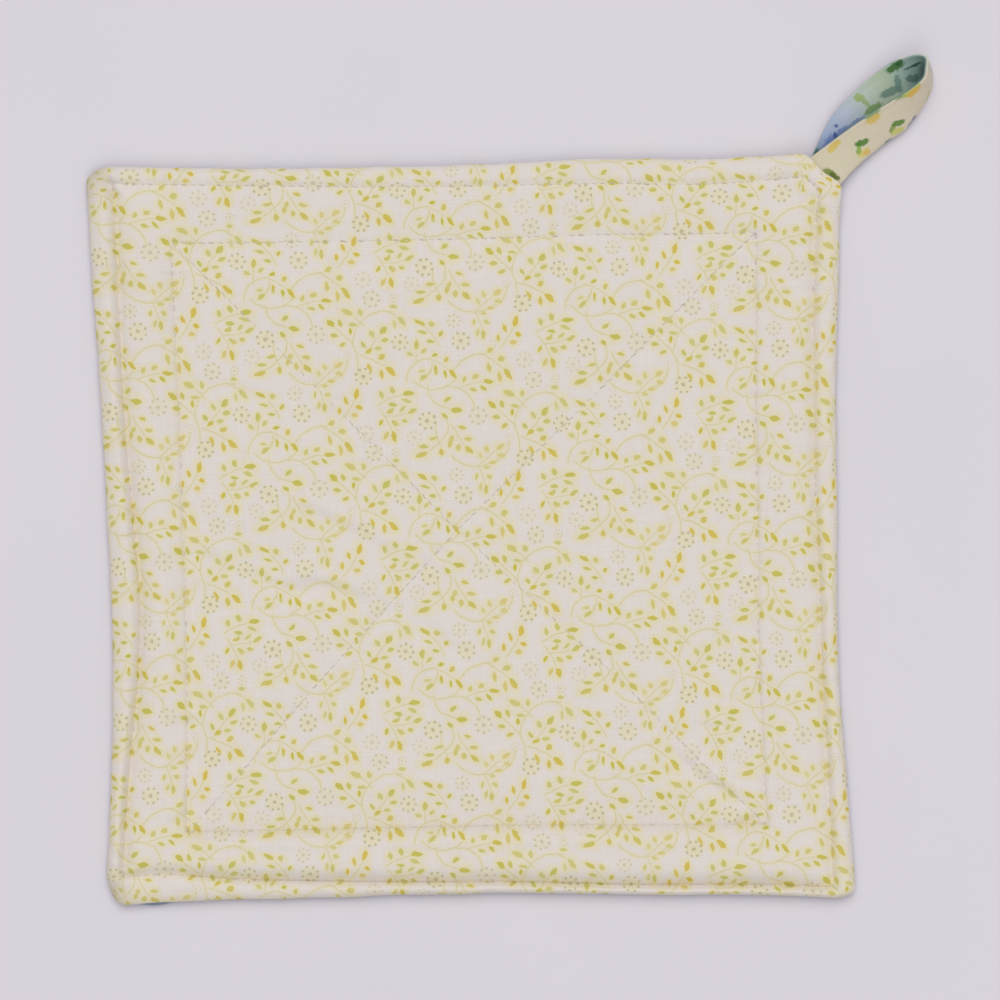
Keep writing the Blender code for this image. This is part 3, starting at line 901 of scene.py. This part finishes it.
def sprig_group():
    """A sprig: leaves loosely set in pairs along a curved stem, with a larger one at its tip.

    It passes on how near the nearest leaf is, 1 at its outline, that leaf's own tone and
    strength of ink, and how near the nearest stem is in millimetres.
    """
    tree, into, out = new_group(
        "Leaf sprig", [("Spot", PLACE), ("Own", PLACE), ("Leaf", FLOAT), ("Ink", PLACE),
                       ("Line", FLOAT)],
        [("Leaf", FLOAT), ("Ink", PLACE), ("Line", FLOAT)])
    x, level, gold = add(tree, "ShaderNodeSeparateXYZ", into["Spot"]).outputs
    pairs, bend, strength = add(tree, "ShaderNodeSeparateXYZ", into["Own"]).outputs
    curve = add(tree, MATH, x, x, operation="MULTIPLY")
    y = add(tree, MATH, curve, bend, level, operation="MULTIPLY_ADD")
    side = add(tree, MATH, y, operation="SIGN")
    off = add(tree, MATH, y, operation="ABSOLUTE")
    # Which pair of leaves a point belongs to, and its place from that pair's joint.
    staggered = add(tree, MATH, side, 0.6, x, operation="MULTIPLY_ADD")
    staggered = add(tree, MATH, staggered, 1.0, operation="SUBTRACT")
    joint = add(tree, MATH, staggered, LEAF_PITCH, operation="DIVIDE")
    joint = add(tree, MATH, joint, operation="FLOOR")
    last = add(tree, MATH, pairs, 1.0, operation="SUBTRACT")
    joint = add(tree, MATH, joint, last, operation="MINIMUM")
    joint = add(tree, MATH, joint, 0.0, operation="MAXIMUM")
    past = add(tree, MATH, joint, -LEAF_PITCH, staggered, operation="MULTIPLY_ADD")
    # Each leaf has three chances of its own, for its place, its lean and its ink.
    own = add(tree, MATH, side, 7.3, joint, operation="MULTIPLY_ADD")
    chances = [add(tree, "ShaderNodeTexWhiteNoise", into["Own"], own,
                   noise_dimensions="4D").outputs["Value"]]
    for _ in range(2):
        own = add(tree, MATH, chances[-1], 57.0, operation="MULTIPLY")
        chances.append(add(tree, MATH, own, operation="FRACT"))
    centre = add(tree, "ShaderNodeCombineXYZ", chances[0], chances[1])
    centre = add(tree, VECTOR, centre, (0.9, 0.5, 0.0), (1.1, 1.65, 0.0),
                 operation="MULTIPLY_ADD")
    leaf = add(tree, "ShaderNodeCombineXYZ", past, off)
    leaf = add(tree, VECTOR, leaf, centre, operation="SUBTRACT")
    lean = add(tree, MATH, chances[2], 0.75, 0.5, operation="MULTIPLY_ADD")
    leaf = add(tree, "ShaderNodeVectorRotate", leaf, (0.0, 0.0, 0.0), lean,
               rotation_type="Z_AXIS", invert=True)
    leaf = add_leaf(tree, leaf, *LEAF_HALF)
    growth = add(tree, MATH, joint, -0.12, 1.28, operation="MULTIPLY_ADD")
    growth = add(tree, MATH, chances[0], -0.22, growth, operation="MULTIPLY_ADD")
    leaf = add(tree, MATH, leaf, growth, operation="MULTIPLY")
    beyond = add(tree, MATH, pairs, -LEAF_PITCH, x, operation="MULTIPLY_ADD")
    tip = add(tree, "ShaderNodeCombineXYZ", beyond, y)
    tip = add(tree, VECTOR, tip, (TIP_LEAF, 0.0, 0.0), operation="SUBTRACT")
    tip = add_leaf(tree, tip, *TIP_LEAF_HALF)
    nearest = add(tree, MATH, leaf, tip, operation="MINIMUM")
    at_tip = add(tree, MATH, tip, leaf, operation="LESS_THAN")
    tone = add(tree, MATH, chances[1], 0.5, gold, operation="MULTIPLY_ADD")
    tone = add(tree, MATH, tone, 0.3, operation="SUBTRACT")
    tone = add(tree, MATH, at_tip, 0.15, tone, operation="MULTIPLY_ADD")
    pale = add(tree, MATH, chances[0], -0.42, 1.1, operation="MULTIPLY_ADD")
    pale = add(tree, MATH, pale, at_tip, operation="MAXIMUM")
    pale = add(tree, MATH, pale, strength, operation="MULTIPLY")
    ink = add(tree, "ShaderNodeCombineXYZ", tone, pale)
    nearer = add(tree, MATH, nearest, into["Leaf"], operation="LESS_THAN")
    ink = add(tree, "ShaderNodeMix", nearer, into["Ink"], ink, data_type="VECTOR")
    nearest = add(tree, MATH, nearest, into["Leaf"], operation="MINIMUM")
    # The stem is a thin line from its foot to the tip leaf.
    stem = add(tree, MATH, pairs, -LEAF_PITCH / 2, x, operation="MULTIPLY_ADD")
    stem = add(tree, MATH, stem, operation="ABSOLUTE")
    stem = add(tree, MATH, pairs, -LEAF_PITCH / 2, stem, operation="MULTIPLY_ADD")
    stem = add(tree, MATH, stem, off, operation="MAXIMUM")
    stem = add(tree, MATH, stem, into["Line"], operation="MINIMUM")
    tree.links.new(nearest.outputs[0], out["Leaf"])
    tree.links.new(first_output(ink), out["Ink"])
    tree.links.new(stem.outputs[0], out["Line"])
    return tree


def add_flower(tree, spot, strength):
    """Nodes for a dotted flower, a dot in a ring of eight, and for the soft wash under it."""
    x, y, _ = add(tree, "ShaderNodeSeparateXYZ", spot).outputs
    radius = add(tree, VECTOR, spot, operation="LENGTH")
    past = add(tree, MATH, radius, FLOWER_RING, operation="SUBTRACT")
    turn = add(tree, MATH, y, x, operation="ARCTAN2")
    turn = add(tree, MATH, turn, 4.0 / math.pi, operation="MULTIPLY")
    turn = add(tree, MATH, turn, 0.5, -0.5, operation="WRAP")
    beside = add(tree, MATH, turn, DOT_PITCH, operation="MULTIPLY")
    ring = add(tree, "ShaderNodeCombineXYZ", past, beside)
    ring = add(tree, VECTOR, ring, operation="LENGTH")
    middle = add(tree, MATH, radius, 0.7, operation="MULTIPLY")
    dot = add(tree, MATH, ring, middle, operation="MINIMUM")
    dots = add(tree, REMAP, dot, 0.5, 0.24, 0.0, 1.0, interpolation_type="SMOOTHSTEP")
    wash = add(tree, REMAP, radius, 3.3, 1.6, 0.0, 1.0, interpolation_type="SMOOTHSTEP")
    return [add(tree, MATH, made, strength, operation="MULTIPLY") for made in (dots, wash)]


def vine_group():
    """A vine: a thin arc of a circle on either side of the motif's heading."""
    tree, into, out = new_group(
        "Vine", MOTIF_INPUTS + [("Radius", FLOAT), ("Wedge", FLOAT), ("Line", FLOAT)],
        [("Line", FLOAT)])
    x, y = add_motif_place(tree, into)
    away = add(tree, "ShaderNodeCombineXYZ", x, y)
    radius = add(tree, VECTOR, away, operation="LENGTH")
    off = add(tree, MATH, radius, into["Radius"], operation="SUBTRACT")
    off = add(tree, MATH, off, operation="ABSOLUTE")
    beyond = add(tree, MATH, radius, into["Wedge"], operation="MULTIPLY")
    beyond = add(tree, MATH, beyond, x, operation="SUBTRACT")
    off = add(tree, MATH, off, beyond, operation="MAXIMUM")
    off = add(tree, MATH, off, into["Line"], operation="MINIMUM")
    tree.links.new(off.outputs[0], out["Line"])
    return tree


def motif_axes(u, v, heading, size):
    """A motif's place in repeats, and the vectors that give mm along and across it."""
    place = (u / REPEAT_WIDTH, v / REPEAT_DROP - u / REPEAT_WIDTH * REPEAT_STEP / REPEAT_DROP, 0.0)
    c, s = math.cos(math.radians(heading)), math.sin(math.radians(heading))
    along = ((REPEAT_WIDTH * c + REPEAT_STEP * s) / size, REPEAT_DROP * s / size, 0.0)
    across = ((REPEAT_STEP * c - REPEAT_WIDTH * s) / size, REPEAT_DROP * c / size, 0.0)
    return place, along, across


def new_cotton(name, cloth_map, sheen):
    """A matt cotton with a faint sheen of loose fibres, and its map of the cloth in mm."""
    material, tree, shader = new_material(name)
    shader.inputs["Roughness"].default_value = 0.88
    shader.inputs["Sheen Weight"].default_value = sheen
    return material, tree, shader, add(tree, "ShaderNodeUVMap", uv_map=cloth_map)


def add_weave(tree, shader, cloth):
    """Plain weave and slubs as bump, and the slubs' slight change of shade, as a node."""
    turn = math.pi / THREAD_SPACING
    threads = add(tree, VECTOR, cloth, (turn, turn, turn), operation="MULTIPLY")
    threads = add(tree, VECTOR, threads, operation="SINE")
    threads = add(tree, "ShaderNodeSeparateXYZ", threads)
    weave = add(tree, MATH, threads.outputs["X"], threads.outputs["Y"], operation="MULTIPLY")
    warp = add(tree, "ShaderNodeMapping", cloth, None, None, (2.4, 0.12, 1.0))
    warp = add(tree, "ShaderNodeTexNoise", warp, 1.0, 2.0)
    weft = add(tree, "ShaderNodeMapping", cloth, None, None, (0.12, 2.4, 1.0))
    weft = add(tree, "ShaderNodeTexNoise", weft, 1.0, 2.0)
    slubs = add(tree, MATH, warp.outputs["Fac"], weft.outputs["Fac"], operation="ADD")
    crumple = add(tree, "ShaderNodeTexNoise", cloth, 0.35, 3.0)
    relief = add(tree, MATH, weave, 0.25, slubs, operation="MULTIPLY_ADD")
    relief = add(tree, MATH, crumple.outputs["Fac"], 3.0, relief, operation="MULTIPLY_ADD")
    bump = add(tree, "ShaderNodeBump", 1.0, WEAVE_DEPTH * MM, None, relief)
    tree.links.new(bump.outputs["Normal"], shader.inputs["Normal"])
    return add(tree, REMAP, slubs, 0.7, 1.3, 0.965, 1.03)


def add_wander(tree, cloth, scale, detail, reach):
    """The cloth's map, shifted a little this way and that, as hand-drawn outlines wander."""
    wander = add(tree, "ShaderNodeTexNoise", cloth, scale, detail)
    wander = add(tree, VECTOR, wander.outputs["Color"], (0.5, 0.5, 0.5), operation="SUBTRACT")
    return add(tree, VECTOR, wander, (reach, reach, 0.0), cloth, operation="MULTIPLY_ADD")


def set_colour(tree, shader, colour, shade):
    """Give a shader its colour, made a little paler and darker by the node shade."""
    shaded = add(tree, VECTOR, colour, shade, operation="MULTIPLY")
    tree.links.new(shaded.outputs[0], shader.inputs["Base Color"])


def printed_cotton(colours):
    """Printed quilting cotton: a plain-woven calico, matt, with pigment ink on its face."""
    material, tree, shader, cloth = new_cotton("Printed quilting cotton", "Cloth", 0.12)
    # Hand-drawn outlines wander by a tenth or two of a millimetre.
    laid = add_wander(tree, cloth, 0.7, 1.0, 0.7)
    laid = add(tree, VECTOR, laid, PRINT_START, operation="SUBTRACT")
    # Skew millimetres into repeats, so that one repeat is one by one.
    u = add(tree, VECTOR, laid, (1.0 / REPEAT_WIDTH, 0.0, 0.0), operation="DOT_PRODUCT")
    skew = -REPEAT_STEP / REPEAT_DROP / REPEAT_WIDTH
    v = add(tree, VECTOR, laid, (skew, 1.0 / REPEAT_DROP, 0.0), operation="DOT_PRODUCT")
    repeats = add(tree, "ShaderNodeCombineXYZ", u, v)
    nearest, sprig, vine = nearest_group(), sprig_group(), vine_group()
    leaf, ink, line = 9.0, None, 9.0
    for group in SPRIGS:
        spot, own, reach = None, None, 99.0
        for u, v, heading, pairs, bend, size, strength, gold in group:
            middle = ((pairs * LEAF_PITCH + SPRIG_TIP) / 2, 0.0, gold)
            made = add(tree, "ShaderNodeGroup", repeats, *motif_axes(u, v, heading, size), gold,
                       middle, (pairs, bend, strength), spot, own, reach, node_tree=nearest)
            spot, own, reach = made.outputs
        made = add(tree, "ShaderNodeGroup", spot, own, leaf, ink, line, node_tree=sprig)
        leaf, ink, line = made.outputs
    for u, v, radius, heading, sweep in VINES:
        wedge = math.cos(math.radians(sweep / 2))
        line = add(tree, "ShaderNodeGroup", repeats, *motif_axes(u, v, heading, 1.0), radius,
                   wedge, line, node_tree=vine)
    spot, own, reach = None, None, 99.0
    for u, v, size, strength in FLOWERS:
        made = add(tree, "ShaderNodeGroup", repeats, *motif_axes(u, v, 37.0 * u, size), 0.0,
                   None, (strength, 0.0, 0.0), spot, own, reach, node_tree=nearest)
        spot, own, reach = made.outputs
    strength = add(tree, VECTOR, own, (1.0, 0.0, 0.0), operation="DOT_PRODUCT")
    dots, wash = add_flower(tree, spot, strength)
    shade = add_weave(tree, shader, cloth)
    ground = add(tree, VECTOR, (*colours.ground,), shade, operation="MULTIPLY")
    # The wash is softest over open ground and strongest against the leaves.
    near_leaf = add(tree, REMAP, leaf, 4.6, 0.7, 0.0, 0.5, interpolation_type="SMOOTHSTEP")
    near_line = add(tree, REMAP, line, 1.5, 0.0, 0.0, 0.3, interpolation_type="SMOOTHSTEP")
    wash = add(tree, MATH, wash, 0.4, operation="MULTIPLY")
    wash = add(tree, MATH, wash, near_leaf, operation="MAXIMUM")
    wash = add(tree, MATH, wash, near_line, operation="MAXIMUM")
    dots = add(tree, MATH, dots, 0.7, operation="MULTIPLY")
    line = add(tree, REMAP, line, 0.26, 0.04, 0.0, 0.55)
    blot = add(tree, REMAP, leaf, 1.12, 0.84, 0.0, 0.95, interpolation_type="SMOOTHSTEP")
    ink = add(tree, "ShaderNodeSeparateXYZ", ink)
    blot = add(tree, MATH, blot, ink.outputs["Y"], operation="MULTIPLY")
    tone = add(tree, "ShaderNodeMix", ink.outputs["X"], (*colours.leaf, 1.0),
               (*colours.gold, 1.0), data_type="RGBA")
    # Painted shade: the two left corners, where the rim rolls over, are painted darker and greyer.
    reach = 9.0
    for corner in ((9.3, 6.2, 0.0), (9.3, -6.2, 0.0)):
        away = add(tree, VECTOR, cloth, (0.09, 0.06, 0.0), corner, operation="MULTIPLY_ADD")
        away = add(tree, VECTOR, away, operation="LENGTH")
        reach = add(tree, MATH, away, reach, operation="MINIMUM")
    # This mask paints shade at the two left corners, in a greyer beige.
    painted_corner_shade = add(tree, REMAP, reach, 1.2, 0.1, 0.0, 0.58, interpolation_type="SMOOTHSTEP")
    colour = ground
    for amount, paint in ((wash, (*colours.wash, 1.0)), (line, (*colours.vine, 1.0)),
                          (dots, (*colours.flower, 1.0)), (blot, tone),
                          (painted_corner_shade, (*linear("#bab1a2"), 1.0))):
        colour = add(tree, "ShaderNodeMix", amount, colour, paint, data_type="RGBA")
    tree.links.new(first_output(colour), shader.inputs["Base Color"])
    return material


def plain_cotton(name, colour, spread):
    """Piece-dyed cotton: plain woven, matt, with its slubs a little paler and darker."""
    material, tree, shader, cloth = new_cotton(name, "Cloth", 0.12)
    shade = add_weave(tree, shader, cloth)
    mottle = add(tree, "ShaderNodeTexNoise", cloth, 0.06, 3.0)
    mottle = add(tree, REMAP, mottle.outputs["Fac"], 0.3, 0.7, 1.0 - spread, 1.0 + spread)
    shade = add(tree, MATH, shade, mottle, operation="MULTIPLY")
    set_colour(tree, shader, (*colour,), shade)
    return material


def strap_cotton(name, ground, motifs):
    """Printed quilting cotton, folded: loosely painted fruit and leaves on a shifting ground."""
    material, tree, shader, cloth = new_cotton(name, "Strap", 0.1)
    shade = add_weave(tree, shader, cloth)
    # Brushed edges: the motifs' outlines wander by a few tenths of a millimetre.
    brushed = add_wander(tree, cloth, 0.9, 2.0, 1.5)
    place = add(tree, "ShaderNodeSeparateXYZ", brushed)
    along = add(tree, REMAP, place.outputs["X"], 0.0, PRINTED_LENGTH, 0.0, 1.0)
    ramp = add(tree, "ShaderNodeValToRGB", along)
    while len(ramp.color_ramp.elements) < len(ground):
        ramp.color_ramp.elements.new(1.0)
    for element, (share, code) in zip(ramp.color_ramp.elements, ground):
        element.position = share
        element.color = (*linear(code), 1.0)
    colour = ramp.outputs["Color"]
    for along, across, heading, length, width, code in motifs:
        spot = add(tree, "ShaderNodeMapping", brushed, (along, across, 0.0),
                   (0.0, 0.0, math.radians(-heading)), (length / 2, width / 2, 1.0),
                   vector_type="TEXTURE")
        spot = add(tree, VECTOR, spot, operation="LENGTH")
        spot = add(tree, REMAP, spot, 1.2, 0.75, 0.0, 0.9, interpolation_type="SMOOTHSTEP")
        colour = add(tree, "ShaderNodeMix", spot, colour, (*linear(code), 1.0),
                     data_type="RGBA")
    set_colour(tree, shader, colour, shade)
    return material


def sewing_thread(colours):
    """Spun sewing thread: slightly glossier than the cloth, with its twist as bump."""
    material, tree, shader = new_material("Spun sewing thread")
    place = add(tree, "ShaderNodeTexCoord").outputs["Object"]
    twist = add(tree, "ShaderNodeTexNoise", place, 4000.0, 2.0)
    bump = add(tree, "ShaderNodeBump", 0.6, 0.03 * MM, None, twist.outputs["Fac"])
    tree.links.new(bump.outputs["Normal"], shader.inputs["Normal"])
    shade = add(tree, REMAP, twist.outputs["Fac"], 0.3, 0.7, 0.92, 1.05)
    set_colour(tree, shader, (*colours.thread,), shade)
    shader.inputs["Roughness"].default_value = 0.6
    return material


def painted_table(colours):
    """Painted board: smooth and almost matt, with the faint clouding of a rolled coat."""
    material, tree, shader = new_material("Painted table top")
    place = add(tree, "ShaderNodeTexCoord").outputs["Object"]
    cloud = add(tree, "ShaderNodeTexNoise", place, 9.0, 4.0)
    shade = add(tree, REMAP, cloud.outputs["Fac"], 0.3, 0.7, 0.985, 1.012)
    set_colour(tree, shader, (*colours.table,), shade)
    shader.inputs["Roughness"].default_value = 0.55
    return material


# Operators

class POTHOLDER_OT_top_panel(bpy.types.Operator):
    """Make the printed and quilted top panel"""
    bl_idname = "potholder.top_panel"
    bl_label = "Top panel"

    def execute(self, context):
        sizes = context.scene.pot_holder_sizes

        def height(a, b, x, y):
            return top_height(a, b, x, y, sizes)

        tuck = [(inset, SEAM_HEIGHT + above) for inset, above in TUCK]
        tuck += [(SEAM_DEPTH + past, SEAM_HEIGHT) for past in (1.0, 2.0)]
        lift = STRAP_NEAR + STRAP_THICK / 2 + TUCK_GAP - SEAM_HEIGHT
        lines = mesh_lines(step=0.8, border_step=0.55, rim_step=0.38)
        cotton = printed_cotton(context.scene.pot_holder_colours)
        panel = pad_panel("quilted_top_panel", lines, BORDER, tuck, height, rim_wave, lift, cotton)
        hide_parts("top_panel")
        return {"FINISHED"}


class POTHOLDER_OT_bottom_panel(bpy.types.Operator):
    """Make the plain bottom panel that lies on the table"""
    bl_idname = "potholder.bottom_panel"
    bl_label = "Bottom panel"

    def execute(self, context):
        rim = [row for row in UNDER_RIM if row[0] == 0.0 or row[1] < 1.0]
        tuck = list(reversed(UNDER_RIM[:3]))
        tuck += [(SEAM_DEPTH + 2.0, tuck[-1][1])]
        colours = context.scene.pot_holder_colours
        cotton = plain_cotton("Dusty blue backing cotton", colours.backing, 0.05)
        lines = mesh_lines(step=1.1, border_step=1.0, rim_step=0.5)
        panel = pad_panel("backing_panel", lines, rim, tuck, under_height, backing_wave,
                          lift=0.0, material=cotton)
        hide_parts("bottom_panel")
        return {"FINISHED"}


class POTHOLDER_OT_stitching(bpy.types.Operator):
    """Sew the topstitching and the quilting through both panels"""
    bl_idname = "potholder.stitching"
    bl_label = "Stitching"

    def execute(self, context):
        sizes = context.scene.pot_holder_sizes
        material = sewing_thread(context.scene.pot_holder_colours)
        for name, rows in stitch_rows(sizes.stitch / MM).items():
            bm = bmesh.new()
            for row in rows:
                plan = [pad_point(a, b) for a, b in row]
                above = [Vector((x, y, top_height(a, b, x, y, sizes)))
                         for (a, b), (x, y) in zip(row, plan)]
                below = [Vector((x, y, under_height(a, b, x, y)))
                         for (a, b), (x, y) in zip(row, plan)]
                sew(bm, above, sizes.thread / MM, Vector((0.0, 0.0, 1.0)))
                sew(bm, below, sizes.thread / MM, Vector((0.0, 0.0, -1.0)))
            bmesh.ops.holes_fill(bm, edges=[edge for edge in bm.edges if edge.is_boundary])
            finish_piece(name, bm, [material])
        return {"FINISHED"}


class POTHOLDER_OT_hanging_loop(bpy.types.Operator):
    """Make the folded strap that is sewn into the corner"""
    bl_idname = "potholder.hanging_loop"
    bl_label = "Hanging loop"

    def execute(self, context):
        bm, length = strap_mesh(samples=150)
        outer = strap_cotton("Strap cotton outer face", OUTER_GROUND, ON_OUTER_FACE)
        inner = strap_cotton("Strap cotton inner face", INNER_GROUND_AND_SHADE, ON_INNER_FACE)
        strap = finish_piece("folded_strap", bm, [outer, inner])
        soft = strap.modifiers.new("Soft folds", "SUBSURF")
        soft.levels = 1
        soft.render_levels = 1
        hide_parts("hanging_loop")
        return {"FINISHED"}


class POTHOLDER_OT_stage(bpy.types.Operator):
    """Set the table top, the soft lights and the camera straight above"""
    bl_idname = "potholder.stage"
    bl_label = "Stage"

    def execute(self, context):
        sizes = context.scene.pot_holder_sizes
        scene = context.scene
        # The table lies a hair below the pot holder, so that the two share no plane.
        bm = bmesh.new()
        bmesh.ops.create_circle(bm, cap_ends=True, segments=96, radius=3.0)
        bmesh.ops.translate(bm, vec=(0.0, 0.0, -0.0001), verts=bm.verts)
        mesh = bpy.data.meshes.new("table_top")
        bm.to_mesh(mesh)
        bm.free()
        mesh.materials.append(painted_table(scene.pot_holder_colours))
        floor = bpy.data.objects.new("table_top", mesh)
        scene.collection.objects.link(floor)

        world = bpy.data.worlds.new("Studio")
        scene.world = world
        world.use_nodes = True
        background = world.node_tree.nodes["Background"]
        background.inputs["Color"].default_value = (*linear("#f6f4f8"), 1.0)
        background.inputs["Strength"].default_value = 0.4
        for name, strength, spot in (("Softbox", 1.28, (0.02, 0.55, 1.0)),
                                     ("Reflector", 0.54, (0.0, -0.75, 1.0))):
            light = bpy.data.lights.new(name, "SUN")
            light.energy = strength
            light.angle = math.radians(50.0)
            lamp = bpy.data.objects.new(name, light)
            scene.collection.objects.link(lamp)
            lamp.location = spot
            lamp.rotation_euler = (-lamp.location).to_track_quat("-Z", "Y").to_euler()

        lens = bpy.data.cameras.new("Camera")
        lens.lens = 135.0
        lens.sensor_width = 36.0
        lens.clip_start = 0.05
        camera = bpy.data.objects.new("Camera", lens)
        scene.collection.objects.link(camera)
        # The view's width is that at the pad's face, 4 mm above the table.
        height = sizes.view_width * lens.lens / lens.sensor_width
        camera.location = (*sizes.view_centre, height + 0.004)
        camera.rotation_euler = (0.0, 0.0, -sizes.view_roll)
        scene.camera = camera
        scene.view_settings.view_transform = "Standard"
        return {"FINISHED"}


STEPS = (POTHOLDER_OT_stage, POTHOLDER_OT_bottom_panel, POTHOLDER_OT_top_panel,
         POTHOLDER_OT_stitching, POTHOLDER_OT_hanging_loop)


class POTHOLDER_PT_panel(bpy.types.Panel):
    """Sizes, colours and steps of the pot holder"""
    bl_label = "Pot Holder"
    bl_idname = "POTHOLDER_PT_panel"
    bl_space_type = "VIEW_3D"
    bl_region_type = "UI"
    bl_category = "Pot Holder"

    def draw(self, context):
        layout = self.layout
        for group in (context.scene.pot_holder_sizes, context.scene.pot_holder_colours):
            for name in group.bl_rna.properties.keys():
                if name not in ("rna_type", "name"):
                    layout.prop(group, name)
        for step in STEPS:
            layout.operator(step.bl_idname)


CLASSES = (PotHolderSizes, PotHolderColours, *STEPS, POTHOLDER_PT_panel)


def register():
    for cls in CLASSES:
        bpy.utils.register_class(cls)
    bpy.types.Scene.pot_holder_sizes = bpy.props.PointerProperty(type=PotHolderSizes)
    bpy.types.Scene.pot_holder_colours = bpy.props.PointerProperty(type=PotHolderColours)


def unregister():
    del bpy.types.Scene.pot_holder_colours
    del bpy.types.Scene.pot_holder_sizes
    for cls in reversed(CLASSES):
        bpy.utils.unregister_class(cls)


def main():
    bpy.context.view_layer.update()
    register()
    for step in STEPS:
        category, name = step.bl_idname.split(".")
        getattr(getattr(bpy.ops, category), name)()
    bpy.context.view_layer.update()


if __name__ == "__main__":
    main()
